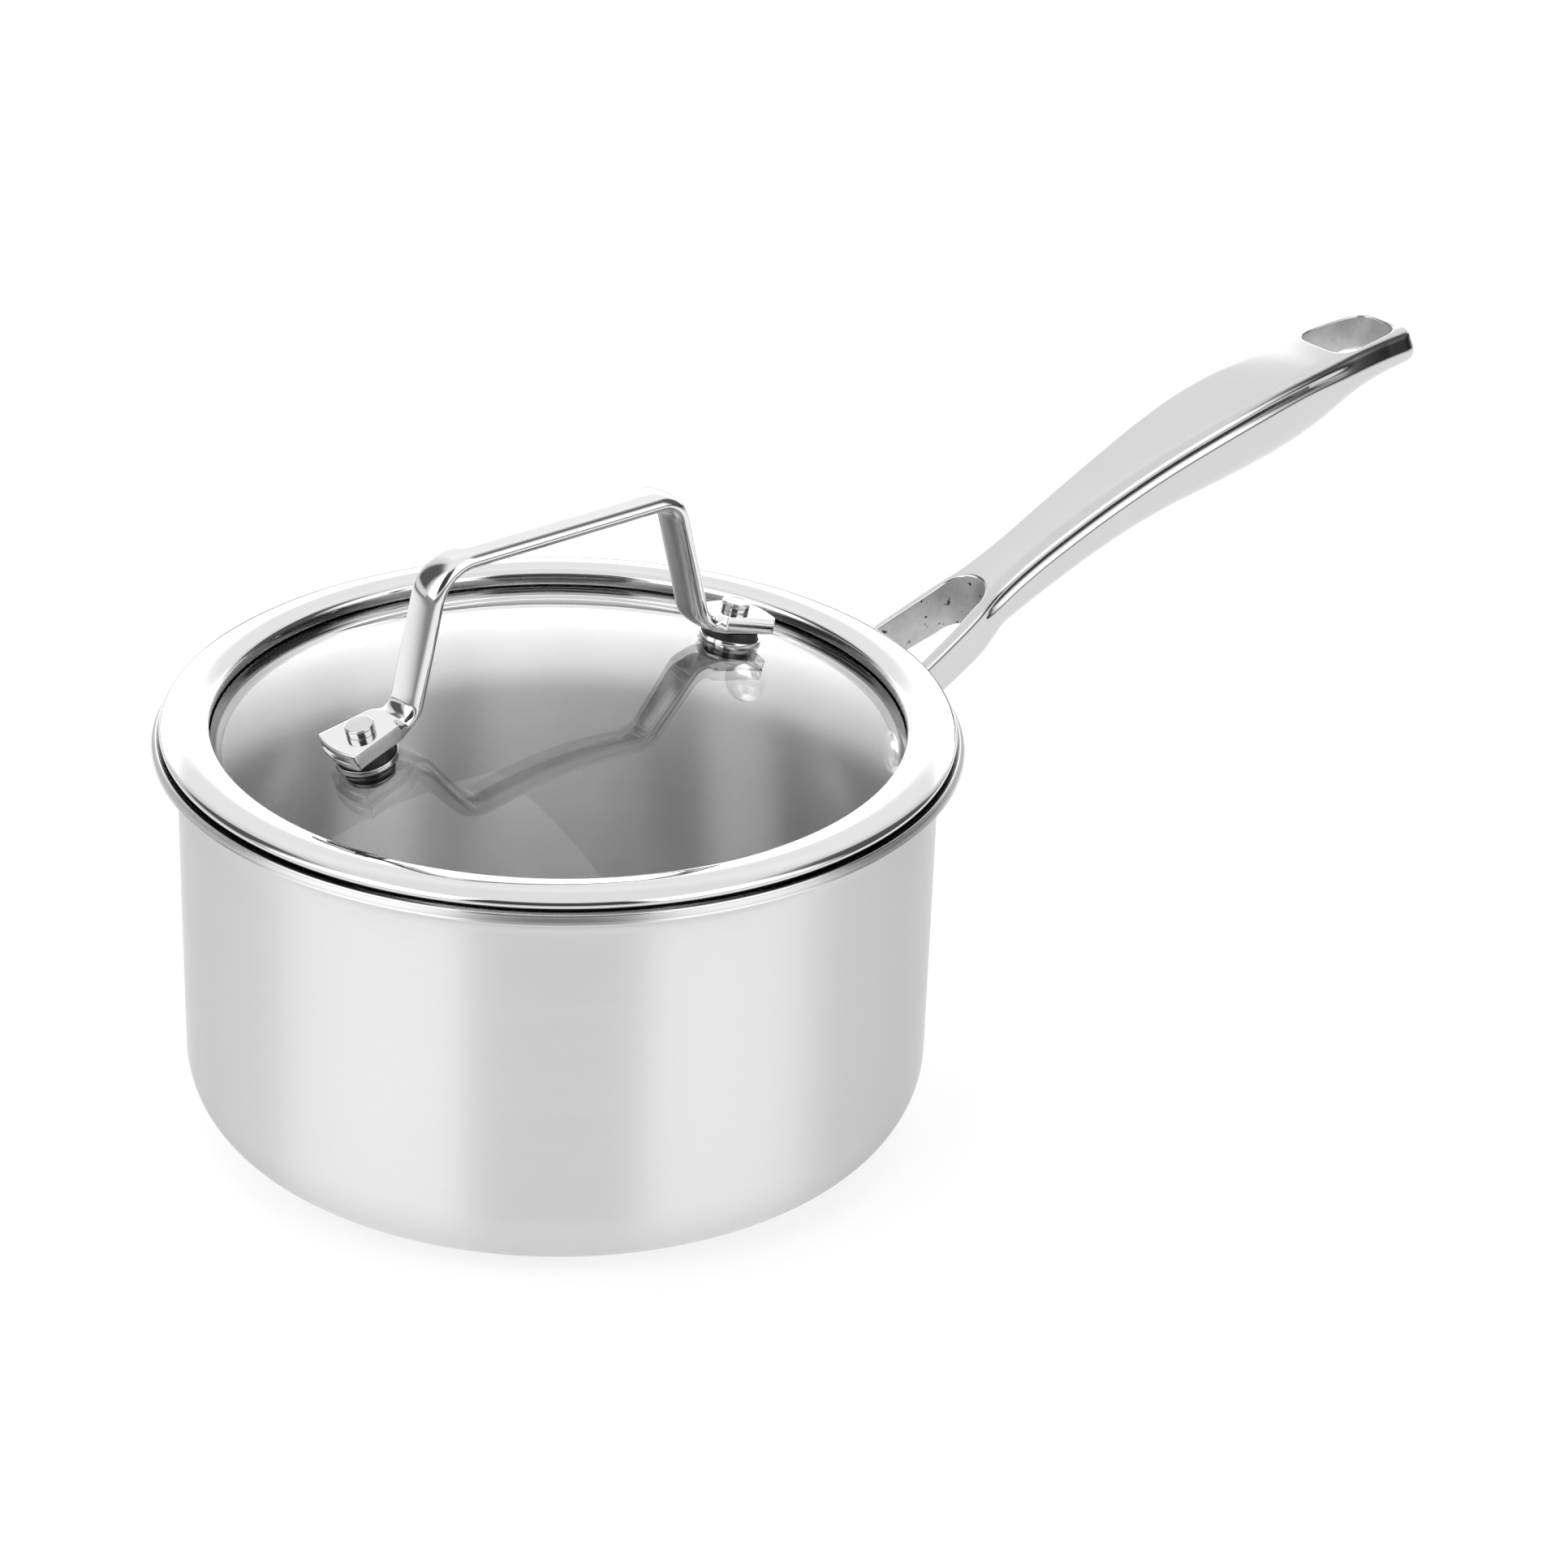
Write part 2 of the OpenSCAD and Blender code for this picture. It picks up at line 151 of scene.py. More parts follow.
# ------------------------------------------------------------------ world: a light tent with soft boxes
def make_world():
    w = bpy.data.worlds.new("studio")
    scene.world = w
    w.use_nodes = True
    t = w.node_tree
    t.nodes.clear()
    g = Net(t)
    out = g.node("ShaderNodeOutputWorld")
    bg = g.node("ShaderNodeBackground")
    t.links.new(bg.outputs[0], out.inputs[0])
    d = g.node("ShaderNodeTexCoord").outputs["Generated"]
    a = CAM_AZ
    to_cam = (math.sin(a) * 1.0, -math.cos(a), 0)
    right = (math.cos(a), math.sin(a), 0)
    x = g.vmath("DOT_PRODUCT", d, right)
    y = g.vmath("DOT_PRODUCT", d, to_cam)
    z = g.vmath("DOT_PRODUCT", d, (0, 0, 1))
    az = g.math("DEGREES", g.math("ARCTAN2", x, y))       # 0 towards the front, + to the right
    el = g.math("DEGREES", g.math("ARCSINE", z))
    aa = g.math("ABSOLUTE", az)
    low = g.step(el, 66.0, 50.0)                      # 1 below the tent's ceiling
    tot = g.step(el, 40.0, 70.0, 0.86, 1.06)
    # soft boxes left and right of the camera
    left = g.math("MULTIPLY", window(g, az, -86.0, -27.0, 2.5), low)
    rightb = g.math("MULTIPLY", window(g, az, 27.0, 77.0, 5.0), low)
    tot = g.math("MULTIPLY_ADD", left, 0.95, tot)
    tot = g.math("MULTIPLY_ADD", rightb, 0.78, tot)
    # white sweep behind, brightest near the floor
    back = g.step(aa, 132.0, 152.0)
    tot = g.math("MULTIPLY_ADD", g.math("MULTIPLY", back, low), 0.26, tot)
    tot = g.math("MULTIPLY_ADD", g.math("MULTIPLY", back, g.step(el, 31.5, 21.0)), 1.20, tot)
    # dark gaps at the sides, between the boxes and the sweep
    gapr = g.math("MULTIPLY", window(g, az, 84.0, 126.0, 5.0), g.step(el, 66.0, 48.0))
    gapl = g.math("MULTIPLY", window(g, az, -126.0, -93.0, 5.0), g.math("MULTIPLY", g.step(el, 62.0, 46.0), g.step(el, 6.0, 12.0)))
    tot = g.math("MULTIPLY_ADD", g.math("ADD", gapr, gapl), -0.74, tot)
    # dark flag behind the camera
    flag = g.math("MULTIPLY", g.step(aa, 30.0, 23.0), window(g, el, 12.0, 60.0, 3.0))
    tot = g.math("MULTIPLY_ADD", flag, -0.80, tot)
    # the boxes stand clear of the floor: a dark strip along the horizon in front and at the sides
    side = g.math("MULTIPLY", g.step(az, -92.0, -86.0), g.step(az, 138.0, 124.0))
    rim = g.math("MULTIPLY", side, g.step(el, 7.0, 3.0))
    tot = g.math("MULTIPLY", tot, g.math("MULTIPLY_ADD", rim, -0.80, 1.0))
    tot = g.math("MAXIMUM", tot, 0.02)
    g.put(bg.inputs[0], g.grey(tot))
    bg.inputs[1].default_value = 1.0


make_world()


def area(name, loc, size, power, aim=(0, 0, 0.05)):
    li = bpy.data.lights.new(name, "AREA")
    li.shape = "RECTANGLE"
    li.size, li.size_y = size
    li.energy = power
    ob = bpy.data.objects.new(name, li)
    scene.collection.objects.link(ob)
    ob.location = loc
    ob.rotation_euler = (Vector(aim) - Vector(loc)).to_track_quat("-Z", "Y").to_euler()
    return ob


area("top_soft_box", Matrix.Rotation(CAM_AZ, 3, "Z") @ Vector((-0.5, 0.9, 2.2)), (1.2, 1.2), 4).visible_glossy = False


# ------------------------------------------------------------------ materials
def surface(name):
    m = bpy.data.materials.new(name)
    m.use_nodes = True
    t = m.node_tree
    g = Net(t)
    bsdf = t.nodes["Principled BSDF"]
    return m, g, bsdf


def object_co(g):
    return g.node("ShaderNodeTexCoord").outputs["Object"]


def bump(g, bsdf, height, strength, dist):
    n = g.node("ShaderNodeBump")
    n.inputs["Strength"].default_value = strength
    n.inputs["Distance"].default_value = dist
    g.put(n.inputs["Height"], height)
    g.t.links.new(n.outputs[0], bsdf.inputs["Normal"])


def brushed(name, base, rough, aniso, streak=0.05, interior=False):
    """Steel turned on a lathe: fine lines run round the axis"""
    m, g, b = surface(name)
    co = object_co(g)
    sep = g.node("ShaderNodeSeparateXYZ")
    g.put(sep.inputs[0], co)
    x, y, z = sep.outputs
    r = g.math("POWER", g.math("ADD", g.math("MULTIPLY", x, x), g.math("MULTIPLY", y, y)), 0.5)
    along = g.math("ADD", z, r) if interior else g.math("ADD", z, g.math("MULTIPLY", r, 0.6))
    def lines(round_, fine):
        comb = g.node("ShaderNodeCombineXYZ")
        g.put(comb.inputs[0], g.math("MULTIPLY", x, round_))
        g.put(comb.inputs[1], g.math("MULTIPLY", y, round_))
        g.put(comb.inputs[2], g.math("MULTIPLY", along, fine))
        return comb.outputs[0]
    fine = g.noise(lines(30.0, 3200.0), 1.0, 2.0, 0.6)
    wide = g.noise(lines(12.0, 700.0), 1.0, 3.0, 0.6)
    cloud = g.noise(co, 28.0, 3.0, 0.5)
    mix = g.math("ADD", g.math("MULTIPLY", fine, 0.6), g.math("MULTIPLY", wide, 0.4))
    tone = g.math("MULTIPLY_ADD", g.math("SUBTRACT", mix, 0.5), streak, base)
    tone = g.math("MULTIPLY_ADD", g.math("SUBTRACT", cloud, 0.5), 0.02, tone)
    g.put(b.inputs["Base Color"], g.grey(tone))
    b.inputs["Metallic"].default_value = 1.0
    b.inputs["Specular Tint"].default_value = (0.6, 0.6, 0.6, 1)
    g.put(b.inputs["Roughness"], g.lerp(mix, rough - 0.05, rough + 0.05))
    b.inputs["Anisotropic"].default_value = aniso
    b.inputs["Anisotropic Rotation"].default_value = 0.25
    tan = g.node("ShaderNodeTangent", direction_type="RADIAL", axis="Z")
    g.t.links.new(tan.outputs[0], b.inputs["Tangent"])
    bump(g, b, mix, 0.12, 0.00002)
    return m


def polished(name, base=0.9, rough=0.05, smudge=0.03, grain=0.0, scale=60.0):
    m, g, b = surface(name)
    co = object_co(g)
    cloud = g.noise(co, scale, 4.0, 0.55)
    fine = g.noise(co, scale * 14, 3.0, 0.6)
    g.put(b.inputs["Base Color"], g.grey(g.math("MULTIPLY_ADD", g.math("SUBTRACT", cloud, 0.5), 0.04, base)))
    b.inputs["Metallic"].default_value = 1.0
    g.put(b.inputs["Roughness"], g.lerp(cloud, rough, rough + smudge))
    if grain:
        bump(g, b, g.math("ADD", cloud, g.math("MULTIPLY", fine, 0.35)), grain, 0.0004)
    return m


def glass():
    m, g, b = surface("clear_glass")
    co = object_co(g)
    b.inputs["Base Color"].default_value = (0.98, 0.98, 0.98, 1)
    b.inputs["Metallic"].default_value = 0.0
    g.put(b.inputs["Roughness"], g.lerp(g.noise(co, 40.0, 3.0, 0.5), 0.0, 0.003))
    b.inputs["IOR"].default_value = 1.5
    b.inputs["Transmission Weight"].default_value = 1.0
    return m


def rubber():
    m, g, b = surface("black_silicone")
    co = object_co(g)
    fine = g.noise(co, 1800.0, 2.0, 0.6)
    g.put(b.inputs["Base Color"], g.grey(g.lerp(fine, 0.012, 0.028)))
    g.put(b.inputs["Roughness"], g.lerp(fine, 0.38, 0.52))
    b.inputs["IOR"].default_value = 1.43
    bump(g, b, fine, 0.15, 0.00004)
    return m


def cast(name, lo, hi, rough, pit):
    """Unpolished cast steel, left rough inside the openings"""
    m, g, b = surface(name)
    co = object_co(g)
    big = g.noise(co, 330.0, 4.0, 0.6)
    fine = g.noise(co, 1500.0, 3.0, 0.65)
    spots = g.step(g.noise(co, 620.0, 2.0, 0.5), 0.66, 0.72)
    sep = g.node("ShaderNodeSeparateXYZ")
    g.put(sep.inputs[0], co)
    spots = g.math("MULTIPLY", spots, g.step(sep.outputs[0], 0.15, 0.20, 1.0, 0.1))   # fewer dark pits towards the hanging hole
    tone = g.lerp(g.math("MULTIPLY_ADD", fine, 0.4, g.math("MULTIPLY", big, 0.6)), lo, hi)
    # the colour is darker at the pits, which the bump also sinks
    tone = g.math("MULTIPLY", tone, g.math("MULTIPLY_ADD", spots, -pit, 1.0))
    g.put(b.inputs["Base Color"], g.grey(tone))
    b.inputs["Metallic"].default_value = 1.0
    g.put(b.inputs["Roughness"], g.lerp(fine, rough - 0.06, rough + 0.08))
    bump(g, b, g.math("SUBTRACT", g.math("ADD", big, g.math("MULTIPLY", fine, 0.5)), g.math("MULTIPLY", spots, 0.6)), 0.5, 0.00025)
    return m


MAT = {
    "brushed_body": brushed("brushed_body", 0.78, 0.34, 1.0),
    "interior_steel": brushed("interior_steel", 0.68, 0.20, 0.8, interior=True),
    "aluminium_core": brushed("aluminium_core", 0.62, 0.35, 0.4),
    "polished_handle": polished("polished_handle", 0.60, 0.06, 0.04),
    "cast_steel": cast("cast_steel", 0.40, 0.72, 0.50, 0.85),
    # steel for the side groove, made very dark: painted shade in the groove's recess
    "groove_steel_painted_shade": cast("groove_steel_painted_shade", 0.10, 0.26, 0.38, 0.5),
    "rivet_steel": polished("rivet_steel", 0.88, 0.16, 0.06),
    "polished_band": polished("polished_band", 0.69, 0.03, 0.02),
    "polished_bar": polished("polished_bar", 0.76, 0.05, 0.03),
    "polished_fixing": polished("polished_fixing", 0.62, 0.12, 0.05),
    "fastener_steel": polished("fastener_steel", 0.52, 0.22, 0.08),
    "black_silicone": rubber(),
    "clear_glass": glass(),
}


# ------------------------------------------------------------------ mesh helpers
def finish_mesh(name, bm, node, body, slot, sharp=None, weld=True):
    if weld:
        bmesh.ops.remove_doubles(bm, verts=bm.verts, dist=1e-7)
    bmesh.ops.recalc_face_normals(bm, faces=bm.faces)
    me = bpy.data.meshes.new(name)
    bm.to_mesh(me)
    bm.free()
    for p in me.polygons:
        p.use_smooth = True
    if sharp is not None:
        me.set_sharp_from_angle(angle=math.radians(sharp))
    me.materials.append(MAT[slot])
    ob = bpy.data.objects.new(name, me)
    scene.collection.objects.link(ob)
    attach(ob, body)
    if node:
        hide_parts(node)
    return ob


def lathe_bm(prof, seg=240, place=None, closed=True):
    """Turns a profile of (r, z) in millimetres round Z. Points on the axis become poles."""
    bm = bmesh.new()
    rings = []
    for r, z in prof:
        if r < 1e-6:
            rings.append([bm.verts.new((0, 0, z * MM))])
        else:
            rings.append([bm.verts.new((r * MM * math.cos(2 * math.pi * k / seg),
                                        r * MM * math.sin(2 * math.pi * k / seg), z * MM))
                          for k in range(seg)])
    n = len(rings)
    for i in range(n if closed else n - 1):
        a, b = rings[i], rings[(i + 1) % n]
        if len(a) == 1 and len(b) == 1:
            continue
        for k in range(seg):
            q = (k + 1) % seg
            if len(a) == 1:
                bm.faces.new((a[0], b[q], b[k]))
            elif len(b) == 1:
                bm.faces.new((a[k], a[q], b[0]))
            else:
                bm.faces.new((a[k], a[q], b[q], b[k]))
    if place is not None:
        bmesh.ops.transform(bm, matrix=place, verts=bm.verts)
    return bm


def rounded(poly, radii, seg=4, closed=True):
    """Rounds the corners of a polyline; radii is one number or one per point"""
    out = []
    n = len(poly)
    for i, p in enumerate(poly):
        r = radii[i] if isinstance(radii, (list, tuple)) else radii
        p = Vector(p)
        if (not closed and i in (0, n - 1)) or r <= 0:
            out.append(tuple(p))
            continue
        a, c = Vector(poly[i - 1]), Vector(poly[(i + 1) % n])
        u, w = (a - p), (c - p)
        lu, lw = u.length, w.length
        if lu < 1e-9 or lw < 1e-9:
            out.append(tuple(p))
            continue
        u, w = u / lu, w / lw
        cosv = max(-1, min(1, u.dot(w)))
        ang = math.acos(cosv)
        if ang > math.pi - 0.05:
            out.append(tuple(p))
            continue
        tl = min(r / math.tan(ang / 2), 0.48 * lu, 0.48 * lw)
        rr = tl * math.tan(ang / 2)
        bis = (u + w).normalized()
        o = p + bis * (rr / math.sin(ang / 2))
        s, e = p + u * tl, p + w * tl
        a0 = math.atan2(s.y - o.y, s.x - o.x)
        a1 = math.atan2(e.y - o.y, e.x - o.x)
        da = (a1 - a0 + math.pi) % (2 * math.pi) - math.pi
        for k in range(seg + 1):
            t = a0 + da * k / seg
            out.append((o.x + rr * math.cos(t), o.y + rr * math.sin(t)))
    return out


def spline(points, sub=6):
    """Smooth curve through 2-D points (Catmull-Rom, centripetal), open"""
    P = [Vector(p) for p in points]
    out = []
    n = len(P)
    for i in range(n - 1):
        p0 = P[i - 1] if i > 0 else P[0] * 2 - P[1]
        p1, p2 = P[i], P[i + 1]
        p3 = P[i + 2] if i + 2 < n else P[-1] * 2 - P[-2]
        t0 = 0.0
        t1 = t0 + max(1e-6, (p1 - p0).length) ** 0.5
        t2 = t1 + max(1e-6, (p2 - p1).length) ** 0.5
        t3 = t2 + max(1e-6, (p3 - p2).length) ** 0.5
        for k in range(sub):
            t = t1 + (t2 - t1) * k / sub
            a1 = p0 * ((t1 - t) / (t1 - t0)) + p1 * ((t - t0) / (t1 - t0))
            a2 = p1 * ((t2 - t) / (t2 - t1)) + p2 * ((t - t1) / (t2 - t1))
            a3 = p2 * ((t3 - t) / (t3 - t2)) + p3 * ((t - t2) / (t3 - t2))
            b1 = a1 * ((t2 - t) / (t2 - t0)) + a2 * ((t - t0) / (t2 - t0))
            b2 = a2 * ((t3 - t) / (t3 - t1)) + a3 * ((t - t1) / (t3 - t1))
            out.append(tuple(b1 * ((t2 - t) / (t2 - t1)) + b2 * ((t - t1) / (t2 - t1))))
    out.append(tuple(P[-1]))
    return out


# ------------------------------------------------------------------ pot
WALL_R, FLARE_Z, DRAFT, CORNER, LIP = 82.5, 84.0, 0.012, 17.4, 3.9
DA = math.atan(DRAFT)
FR = 3.85
FE = math.radians(62.2)
FC = (WALL_R + FR * math.cos(DA), FLARE_Z)
WT = (FC[0] - FR * math.cos(DA), FC[1] + FR * math.sin(DA))
CZ = CORNER - CORNER * math.sin(DA)
BASE_R = WT[0] - (WT[1] - CZ) * math.tan(DA) - CORNER * math.cos(DA)


def pot_path(d, tip=0.0):
    pts = [(0, d)] + [(BASE_R * f, d) for f in (0.25, 0.5, 0.75, 0.9, 1.0)]
    for i in range(1, 29):
        a = -math.pi / 2 + i * (math.pi / 2 - DA) / 28
        pts.append((BASE_R + (CORNER - d) * math.cos(a), CORNER + (CORNER - d) * math.sin(a)))
    lo, hi = pts[-1], (FC[0] - (FR + d) * math.cos(DA), FC[1] + (FR + d) * math.sin(DA))
    for k in range(1, 10):
        f = k / 10
        pts.append((lo[0] + (hi[0] - lo[0]) * f, lo[1] + (hi[1] - lo[1]) * f))
    for i in range(0, 21):
        a = DA + i * (FE - DA) / 20
        pts.append((FC[0] - (FR + d) * math.cos(a), FC[1] + (FR + d) * math.sin(a)))
    e = pts[-1]
    for k in (0.35, 0.7):
        pts.append((e[0] + LIP * k * math.sin(FE), e[1] + LIP * k * math.cos(FE)))
    L = LIP - tip
    pts.append((e[0] + L * math.sin(FE), e[1] + L * math.cos(FE)))
    return pts


def ply(name, d0, d1, slot, edge):
    a, b = pot_path(d0), pot_path(d1)
    # small rounding where the cut edge meets each face
    e = edge
    pa, pb = Vector(a[-1]), Vector(b[-1])
    ua = (Vector(a[-2]) - pa).normalized()
    across = (pb - pa).normalized()
    lip = []
    if e[0] > 0:
        for k in range(5):
            t = math.pi / 2 * k / 4
            lip.append(tuple(pa + ua * e[0] * (1 - math.sin(t)) + across * e[0] * (1 - math.cos(t))))
    else:
        lip.append(tuple(pa))
    lip.append(tuple((pa + pb) / 2))
    if e[1] > 0:
        for k in range(5):
            t = math.pi / 2 * k / 4
            lip.append(tuple(pb + ua * e[1] * (1 - math.cos(t)) - across * e[1] * (1 - math.sin(t))))
    else:
        lip.append(tuple(pb))
    prof = a[:-1] + lip + b[-2::-1]
    return finish_mesh(name, lathe_bm(prof, 288), name.replace("_skin", ""), "pan", slot, sharp=40)


ply("pot_outer_ply_skin", 0.0, 0.6, "brushed_body", (0.28, 0.05))
ply("pot_core_ply_skin", 0.6, 1.8, "aluminium_core", (0.05, 0.05))
ply("pot_inner_ply_skin", 1.8, 2.3, "interior_steel", (0.05, 0.24))

# ------------------------------------------------------------------ rivets of the pan handle
RIV_A, RIV_Z = 17.9, 70.8


def rivet(side, node):
    head, tail = 79.78, 82.5 + 0.05 + 2.6 + 0.03
    prof = [(0, head - 2.6)]
    for k in range(1, 13):                                    # shallow dome inside the pot
        f = k / 12
        r = 5.2 * math.sin(f * math.pi / 2) ** 1.0
        z = head - 0.25 - 2.35 * math.cos(f * math.pi / 2) ** 1.15
        prof.append((r, z))
    prof += [(5.2, head), (2.5, head), (2.5, tail), (3.9, tail)]
    prof += [(3.9, tail + 0.9), (3.8, tail + 1.2), (3.5, tail + 1.38), (3.0, tail + 1.4), (0, tail + 1.4)]
    place = (Matrix.Rotation(math.radians(side * RIV_A), 4, "Z")
             @ Matrix.Translation((0, 0, RIV_Z * MM)) @ Matrix.Rotation(math.pi / 2, 4, "Y"))
    return finish_mesh(node + "_skin", lathe_bm(prof, 72, place, closed=False), node, "pan", "rivet_steel", sharp=40)


rivet(1, "handle_rivet_left")
rivet(-1, "handle_rivet_right")

# ------------------------------------------------------------------ pan handle
ST = [(82.8, 75.0, 10.0, 14.2), (88, 76.9, 10.0, 13.5), (94, 79.1, 10.0, 12.7),
      (100, 81.3, 10.0, 11.9), (106, 83.5, 10.2, 11.2), (112, 85.8, 10.4, 10.4),
      (118, 88.2, 10.8, 9.5), (123, 90.3, 11.2, 8.6), (128, 92.4, 11.6, 8.0),
      (134, 94.8, 12.0, 7.7), (140, 97.2, 12.3, 7.7), (148, 100.4, 12.6, 8.1),
      (156, 103.4, 12.9, 8.5), (164, 106.2, 13.3, 9.0), (172, 108.9, 14.0, 9.6),
      (180, 111.4, 14.9, 10.3), (188, 113.6, 15.9, 11.0), (196, 115.6, 16.8, 11.5),
      (204, 117.2, 17.3, 11.7), (212, 118.5, 17.4, 11.6), (218, 119.2, 17.0, 11.4),
      (224, 119.8, 16.0, 11.2), (230, 120.2, 14.3, 11.0), (236, 120.8, 12.0, 10.8),
      (241, 121.2, 10.3, 10.6), (246, 121.5, 9.3, 10.4), (251, 121.65, 8.7, 10.15)]
TIP_X = 260.9


def lerp_table(xs, ys, x):
    """Smooth cubic through a table"""
    n = len(xs)
    if x <= xs[0]:
        i = 0
    elif x >= xs[-1]:
        i = n - 2
    else:
        i = max(k for k in range(n - 1) if xs[k] <= x)
    h = xs[i + 1] - xs[i]
    d = (ys[i + 1] - ys[i]) / h

    def slope(k):
        if k == 0:
            return (ys[1] - ys[0]) / (xs[1] - xs[0])
        if k == n - 1:
            return (ys[-1] - ys[-2]) / (xs[-1] - xs[-2])
        d0 = (ys[k] - ys[k - 1]) / (xs[k] - xs[k - 1])
        d1 = (ys[k + 1] - ys[k]) / (xs[k + 1] - xs[k])
        w = (xs[k] - xs[k - 1]) / (xs[k + 1] - xs[k - 1])
        return d0 * (1 - w) + d1 * w
    t = (x - xs[i]) / h
    m0, m1 = slope(i) * h, slope(i + 1) * h
    return ((2 * t ** 3 - 3 * t ** 2 + 1) * ys[i] + (t ** 3 - 2 * t ** 2 + t) * m0
            + (-2 * t ** 3 + 3 * t ** 2) * ys[i + 1] + (t ** 3 - t ** 2) * m1)


SX = [s[0] for s in ST]


def smooth_col(c):
    """Table column averaged over a short window, so reflections flow"""
    ys = [s[c] for s in ST]

    def f(x):
        if x > 251:
            x = 251 + (x - 251) * 0.5
        acc = 0.0
        for o, w in ((-5, 1), (-2.5, 2), (0, 3), (2.5, 2), (5, 1)):
            acc += w * lerp_table(SX, ys, min(max(x + o, SX[0] - 3), 256.0))
        return acc / 9
    return f


line_z, depth, half_w0 = smooth_col(1), smooth_col(2), smooth_col(3)


def half_w(x):
    """Half width, with the rounded tip"""
    w = half_w0(min(x, 250.0)) if x < 250 else half_w0(250.0) - 0.03 * (x - 250)
    if x > 255.0:
        u = (x - 255.0) / (TIP_X - 255.0)
        w *= max(0.0, 1 - u ** 4.0) ** (1 / 3.2)
    return max(w, 0.0)


FORK = [(70, 12.4), (82.8, 11.3), (92, 10.1), (100, 9.1), (110, 7.7), (118.6, 6.2)]


def fork_g(x):
    if x >= 118.6:
        u = (x - 118.6) / 6.2
        return 6.2 * math.sqrt(max(0.0, 1 - u * u))
    return lerp_table([p[0] for p in FORK], [p[1] for p in FORK], x)


HC, HL, HW = 245.7, 10.9, 7.3


def hole_g(x):
    u = (x - HC) / HL
    if abs(u) >= 1:
        return 0.0
    v = max(0.0, 1 - abs(u) ** 4) ** 0.25
    return HW * v * (1 - 0.12 * u)


def gap(x):
    return fork_g(x) if x < 124.8 else hole_g(x)


def x_stations():
    xs = set()

    def arc_near(x0, direction, span, n):
        for k in range(n + 1):
            xs.add(round(x0 + direction * span * (1 - math.cos(k / n * math.pi / 2)), 4))
    v = 82.7
    while v < 118.0:
        xs.add(round(v, 4)); v += 1.1
    arc_near(124.8, -1, 6.2, 16)
    for o in (0.05, 0.12, 0.22, 0.35, 0.55, 0.9, 1.4):
        xs.add(round(124.8 + o, 4)); xs.add(round(234.8 - o, 4))
    v = 127.0
    while v < 233.6:
        xs.add(round(v, 4)); v += 1.1
    arc_near(234.8, 1, 5.0, 16)
    arc_near(256.6, -1, 5.0, 16)
    v = 240.6
    while v < 250.9:
        xs.add(round(v, 4)); v += 0.7
    for o in (0.05, 0.12, 0.22, 0.35, 0.55, 0.9, 1.4):
        xs.add(round(256.6 + o, 4))
    n = 18
    for k in range(n + 1):
        xs.add(round(258.1 + (TIP_X - 258.1) * math.sin(k / n * math.pi / 2), 4))
    return sorted(xs)


CROWN = 1.2


def hole_edge(x, y):
    """Distance outside the nearest opening's edge, in plan"""
    best = 9.0
    for tab in (EDGE_PTS[2:] if x > 180 else EDGE_PTS[:2]):
        for (ax, ay), (bx, by) in zip(tab, tab[1:]):
            if min(ax, bx) - x > best or x - max(ax, bx) > best:
                continue
            ux, uy = bx - ax, by - ay
            t = ((x - ax) * ux + (y - ay) * uy) / max(ux * ux + uy * uy, 1e-12)
            t = min(1.0, max(0.0, t))
            dd = math.hypot(ax + ux * t - x, ay + uy * t - y)
            if dd < best:
                best = dd
    return best


EDGE_PTS = [[(118.6 + 6.2 * math.cos(t * math.pi / 120), 6.2 * math.sin(t * math.pi / 120)) for t in range(0, 61)],
            [(82 + 0.3 * k, fork_g(82 + 0.3 * k)) for k in range(123)],
            []]
for k in range(0, 4001):
    # even steps along the outline: the power law bunches equal angles together
    a = math.pi * k / 4000
    u = math.copysign(abs(math.cos(a)) ** 0.5, math.cos(a))
    v = abs(math.sin(a)) ** 0.5
    pt = (HC + u * HL, v * HW * (1 - 0.12 * u))
    if not EDGE_PTS[2] or math.dist(pt, EDGE_PTS[2][-1]) > 0.1 or k == 4000:
        EDGE_PTS[2].append(pt)


def fillet(d, r):
    """Height lost at distance d from an edge rounded with radius r"""
    if d >= r:
        return 0.0
    return r - math.sqrt(max(0.0, r * r - (r - d) ** 2))


def smooth01(t):
    t = min(1.0, max(0.0, t))
    return t * t * (3 - 2 * t)


def groove_share(x):
    """1 where the side groove has its full depth, 0 where there is none"""
    return smooth01((x - 117) / 9) * (1 - smooth01((x - 204) / 34))


# side profile from the top face's edge down to the belly: (inset, height from the line)
WITH_GROOVE = [(1.16, 0.34), (1.03, 0.24), (0.94, 0.08), (0.86, -0.14), (0.78, -0.38), (0.70, -0.62), (0.70, -0.82),
               (0.90, -0.94), (1.50, -1.02), (1.84, -1.24), (1.84, -1.62), (1.66, -1.90), (1.34, -2.02), (1.12, -2.08),
               (0.84, -2.24), (0.56, -2.48), (0.33, -2.80), (0.16, -3.20), (0.05, -3.70), (0.0, -4.2)]
PLAIN = [(0.62, 0.30), (0.48, 0.12), (0.37, -0.10), (0.29, -0.32), (0.22, -0.56), (0.17, -0.78), (0.13, -0.98),
         (0.10, -1.18), (0.07, -1.40), (0.05, -1.62), (0.035, -1.84), (0.02, -2.04), (0.015, -2.2), (0.01, -2.36),
         (0.005, -2.55), (0.0, -2.78), (0.0, -3.05), (0.0, -3.4), (0.0, -3.8), (0.0, -4.2)]
TIP_SIDE = [(1.52, 0.34), (1.38, 0.24), (1.28, 0.10), (1.20, -0.08), (1.12, -0.30), (1.04, -0.52), (0.96, -0.76),
            (0.88, -1.00), (0.80, -1.24), (0.72, -1.48), (0.64, -1.72), (0.56, -1.96), (0.48, -2.20), (0.40, -2.44),
            (0.32, -2.68), (0.24, -2.92), (0.16, -3.16), (0.09, -3.42), (0.03, -3.74), (0.0, -4.05)]
